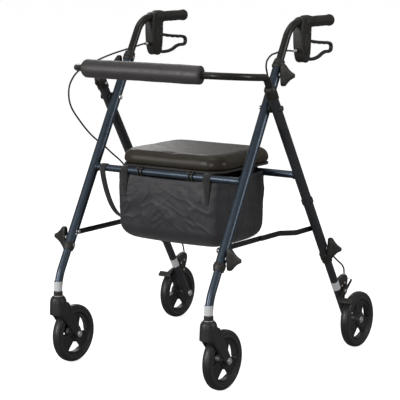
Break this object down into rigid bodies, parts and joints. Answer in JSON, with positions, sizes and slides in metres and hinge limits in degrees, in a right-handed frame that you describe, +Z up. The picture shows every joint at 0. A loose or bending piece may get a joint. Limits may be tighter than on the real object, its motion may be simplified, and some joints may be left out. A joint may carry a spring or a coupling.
{
  "type": "rollator walker",
  "caption": "Folding wheeled walker with swivel front casters, padded flip-up seat over a hanging bag, curved foam backrest and height-adjustable handles with loop brakes.",
  "frame": {"origin": "on the floor, under the middle of the bounding box, unfolded, wheels on the floor", "axes": "+Z up; -Y is the front, where the casters and the backrest are; +X is to the left of a user who walks behind it"},
  "size_m": [0.651, 0.7206, 0.9084],
  "materials": {
    "steel_blue": "glossy dark blue metallic paint",
    "charcoal": "charcoal paint",
    "black_tube": "satin black paint",
    "black_plastic": "moulded black plastic",
    "wheel_plastic": "moulded black wheel",
    "grey_foam": "closed-cell foam sleeve",
    "black_vinyl": "semi-gloss vinyl over foam",
    "black_nylon": "woven nylon",
    "zinc_steel": "zinc-plated",
    "cable_jacket": "black cable jacket"
  },
  "bodies": {
    "front_frame": {"front_leg_left": "steel_blue", "front_leg_right": "steel_blue", "front_rail": "steel_blue", "pivot_bolt_left": "zinc_steel", "pivot_bolt_right": "zinc_steel", "handle_collar_left": "black_plastic", "handle_collar_right": "black_plastic", "front_leg_collar_left": "black_plastic", "front_leg_collar_right": "black_plastic", "storage_bag": "black_nylon", "pull_strap": "black_nylon", "brake_cable_left": "cable_jacket", "brake_cable_right": "cable_jacket"},
    "rear_frame": {"rear_leg_left": "charcoal", "rear_leg_right": "charcoal", "rear_rail": "steel_blue", "leg_top_socket_left": "black_plastic", "leg_top_socket_right": "black_plastic", "backrest_bar": "black_tube", "backrest_foam": "grey_foam", "rear_leg_collar_left": "black_plastic", "rear_leg_collar_right": "black_plastic"},
    "seat": {"seat_board": "black_plastic", "seat_pad": "black_vinyl"},
    "front_link_left": {"front_brace_left": "black_plastic"},
    "rear_link_left": {"rear_brace_left": "black_plastic"},
    "handle_left": {"handle_tube_left": "black_tube", "hand_grip_left": "black_plastic", "brake_lever_housing_left": "black_plastic"},
    "lever_left": {"brake_lever_left": "black_plastic"},
    "front_extension_left": {"front_lower_leg_left": "steel_blue"},
    "caster_left": {"caster_fork_left": "black_plastic", "caster_axle_left": "zinc_steel"},
    "caster_wheel_left": {"front_wheel_left": "wheel_plastic"},
    "rear_extension_left": {"rear_lower_leg_left": "charcoal", "rear_axle_left": "zinc_steel", "brake_bracket_left": "black_plastic"},
    "rear_roller_left": {"rear_wheel_left": "wheel_plastic"},
    "brake_shoe_left": {"brake_arm_left": "black_plastic"},
    "handle_screw_left": {"handle_knob_left": "black_plastic"},
    "front_screw_left": {"front_leg_knob_left": "black_plastic"},
    "rear_screw_left": {"rear_leg_knob_left": "black_plastic"},
    "front_link_right": {"front_brace_right": "black_plastic"},
    "rear_link_right": {"rear_brace_right": "black_plastic"},
    "handle_right": {"handle_tube_right": "black_tube", "hand_grip_right": "black_plastic", "brake_lever_housing_right": "black_plastic"},
    "lever_right": {"brake_lever_right": "black_plastic"},
    "front_extension_right": {"front_lower_leg_right": "steel_blue"},
    "caster_right": {"caster_fork_right": "black_plastic", "caster_axle_right": "zinc_steel"},
    "caster_wheel_right": {"front_wheel_right": "wheel_plastic"},
    "rear_extension_right": {"rear_lower_leg_right": "charcoal", "rear_axle_right": "zinc_steel", "brake_bracket_right": "black_plastic"},
    "rear_roller_right": {"rear_wheel_right": "wheel_plastic"},
    "brake_shoe_right": {"brake_arm_right": "black_plastic"},
    "handle_screw_right": {"handle_knob_right": "black_plastic"},
    "front_screw_right": {"front_leg_knob_right": "black_plastic"},
    "rear_screw_right": {"rear_leg_knob_right": "black_plastic"}
  },
  "joints": [
    {"name": "fold", "type": "hinge", "parent": "front_frame", "child": "rear_frame", "pos_m": [0, -0.083, 0.685], "axis": [-1, 0, 0], "range_deg": [0, 40], "deforming": ["storage_bag", "pull_strap", "brake_cable_left", "brake_cable_right"]},
    {"name": "seat_flip", "type": "hinge", "parent": "front_frame", "child": "seat", "pos_m": [0, -0.18056, 0.509], "axis": [1, 0, 0], "range_deg": [0, 85]},
    {"name": "front_link_fold_left", "type": "hinge", "parent": "front_frame", "child": "front_link_left", "pos_m": [0.2208, -0.26925, 0.349], "axis": [1, 0, 0], "range_deg": [0, 46.95]},
    {"name": "rear_link_fold_left", "type": "hinge", "parent": "rear_frame", "child": "rear_link_left", "pos_m": [0.254, 0.12093, 0.349], "axis": [-1, 0, 0], "range_deg": [0, 52]},
    {"name": "handle_height_left", "type": "slide", "parent": "front_frame", "child": "handle_left", "axis": [0, 0.4848, 0.8746], "range_m": [-0.038, 0.038]},
    {"name": "brake_squeeze_left", "type": "hinge", "parent": "handle_left", "child": "lever_left", "pos_m": [0.2375, 0.097, 0.844], "axis": [1, 0, 0], "range_deg": [0, 15], "stiffness_Nm_per_rad": 1.5, "springref_deg": -20.05},
    {"name": "front_leg_height_left", "type": "slide", "parent": "front_frame", "child": "front_extension_left", "axis": [0, -0.4848, -0.8746], "range_m": [0, 0.0762]},
    {"name": "caster_swivel_left", "type": "hinge", "parent": "front_extension_left", "child": "caster_left", "pos_m": [0.2375, -0.3355, 0.19], "axis": [0, 0, 1], "continuous": true},
    {"name": "caster_wheel_spin_left", "type": "hinge", "parent": "caster_left", "child": "caster_wheel_left", "pos_m": [0.2375, -0.2755, 0.0762], "axis": [1, 0, 0], "continuous": true},
    {"name": "rear_leg_height_left", "type": "slide", "parent": "rear_frame", "child": "rear_extension_left", "axis": [0, 0.5188, -0.8549], "range_m": [0, 0.0762]},
    {"name": "rear_wheel_spin_left", "type": "hinge", "parent": "rear_extension_left", "child": "rear_roller_left", "pos_m": [0.302, 0.2865, 0.0762], "axis": [1, 0, 0], "continuous": true},
    {"name": "shoe_press_left", "type": "hinge", "parent": "rear_extension_left", "child": "brake_shoe_left", "pos_m": [0.2685, 0.2545, 0.158], "axis": [1, 0, 0], "range_deg": [0, 10]},
    {"name": "handle_knob_turn_left", "type": "hinge", "parent": "front_frame", "child": "handle_screw_left", "pos_m": [0.2375, -0.03866, 0.765], "axis": [1, 0, 0], "range_deg": [0, 360]},
    {"name": "front_knob_turn_left", "type": "hinge", "parent": "front_frame", "child": "front_screw_left", "pos_m": [0.2375, -0.27867, 0.332], "axis": [1, 0, 0], "range_deg": [0, 360]},
    {"name": "rear_knob_turn_left", "type": "hinge", "parent": "rear_frame", "child": "rear_screw_left", "pos_m": [0.2685, 0.15431, 0.294], "axis": [1, 0, 0], "range_deg": [0, 360]},
    {"name": "front_link_fold_right", "type": "hinge", "parent": "front_frame", "child": "front_link_right", "pos_m": [-0.2208, -0.26925, 0.349], "axis": [1, 0, 0], "range_deg": [0, 46.95]},
    {"name": "rear_link_fold_right", "type": "hinge", "parent": "rear_frame", "child": "rear_link_right", "pos_m": [-0.254, 0.12093, 0.349], "axis": [-1, 0, 0], "range_deg": [0, 52]},
    {"name": "handle_height_right", "type": "slide", "parent": "front_frame", "child": "handle_right", "axis": [0, 0.4848, 0.8746], "range_m": [-0.038, 0.038]},
    {"name": "brake_squeeze_right", "type": "hinge", "parent": "handle_right", "child": "lever_right", "pos_m": [-0.2375, 0.097, 0.844], "axis": [1, 0, 0], "range_deg": [0, 15], "stiffness_Nm_per_rad": 1.5, "springref_deg": -20.05},
    {"name": "front_leg_height_right", "type": "slide", "parent": "front_frame", "child": "front_extension_right", "axis": [0, -0.4848, -0.8746], "range_m": [0, 0.0762]},
    {"name": "caster_swivel_right", "type": "hinge", "parent": "front_extension_right", "child": "caster_right", "pos_m": [-0.2375, -0.3355, 0.19], "axis": [0, 0, 1], "continuous": true},
    {"name": "caster_wheel_spin_right", "type": "hinge", "parent": "caster_right", "child": "caster_wheel_right", "pos_m": [-0.2375, -0.2755, 0.0762], "axis": [1, 0, 0], "continuous": true},
    {"name": "rear_leg_height_right", "type": "slide", "parent": "rear_frame", "child": "rear_extension_right", "axis": [0, 0.5188, -0.8549], "range_m": [0, 0.0762]},
    {"name": "rear_wheel_spin_right", "type": "hinge", "parent": "rear_extension_right", "child": "rear_roller_right", "pos_m": [-0.302, 0.2865, 0.0762], "axis": [1, 0, 0], "continuous": true},
    {"name": "shoe_press_right", "type": "hinge", "parent": "rear_extension_right", "child": "brake_shoe_right", "pos_m": [-0.2685, 0.2545, 0.158], "axis": [1, 0, 0], "range_deg": [0, 10]},
    {"name": "handle_knob_turn_right", "type": "hinge", "parent": "front_frame", "child": "handle_screw_right", "pos_m": [-0.2375, -0.03866, 0.765], "axis": [1, 0, 0], "range_deg": [0, 360]},
    {"name": "front_knob_turn_right", "type": "hinge", "parent": "front_frame", "child": "front_screw_right", "pos_m": [-0.2375, -0.27867, 0.332], "axis": [1, 0, 0], "range_deg": [0, 360]},
    {"name": "rear_knob_turn_right", "type": "hinge", "parent": "rear_frame", "child": "rear_screw_right", "pos_m": [-0.2685, 0.15431, 0.294], "axis": [1, 0, 0], "range_deg": [0, 360]}
  ],
  "couplings": [
    {"joint": "front_link_fold_left", "follows": "fold", "ratio": 1.1725},
    {"joint": "rear_link_fold_left", "follows": "fold", "ratio": 1.2995},
    {"joint": "shoe_press_left", "follows": "brake_squeeze_left", "ratio": 0.6667},
    {"joint": "front_link_fold_right", "follows": "fold", "ratio": 1.1725},
    {"joint": "rear_link_fold_right", "follows": "fold", "ratio": 1.2995},
    {"joint": "shoe_press_right", "follows": "brake_squeeze_right", "ratio": 0.6667}
  ]
}
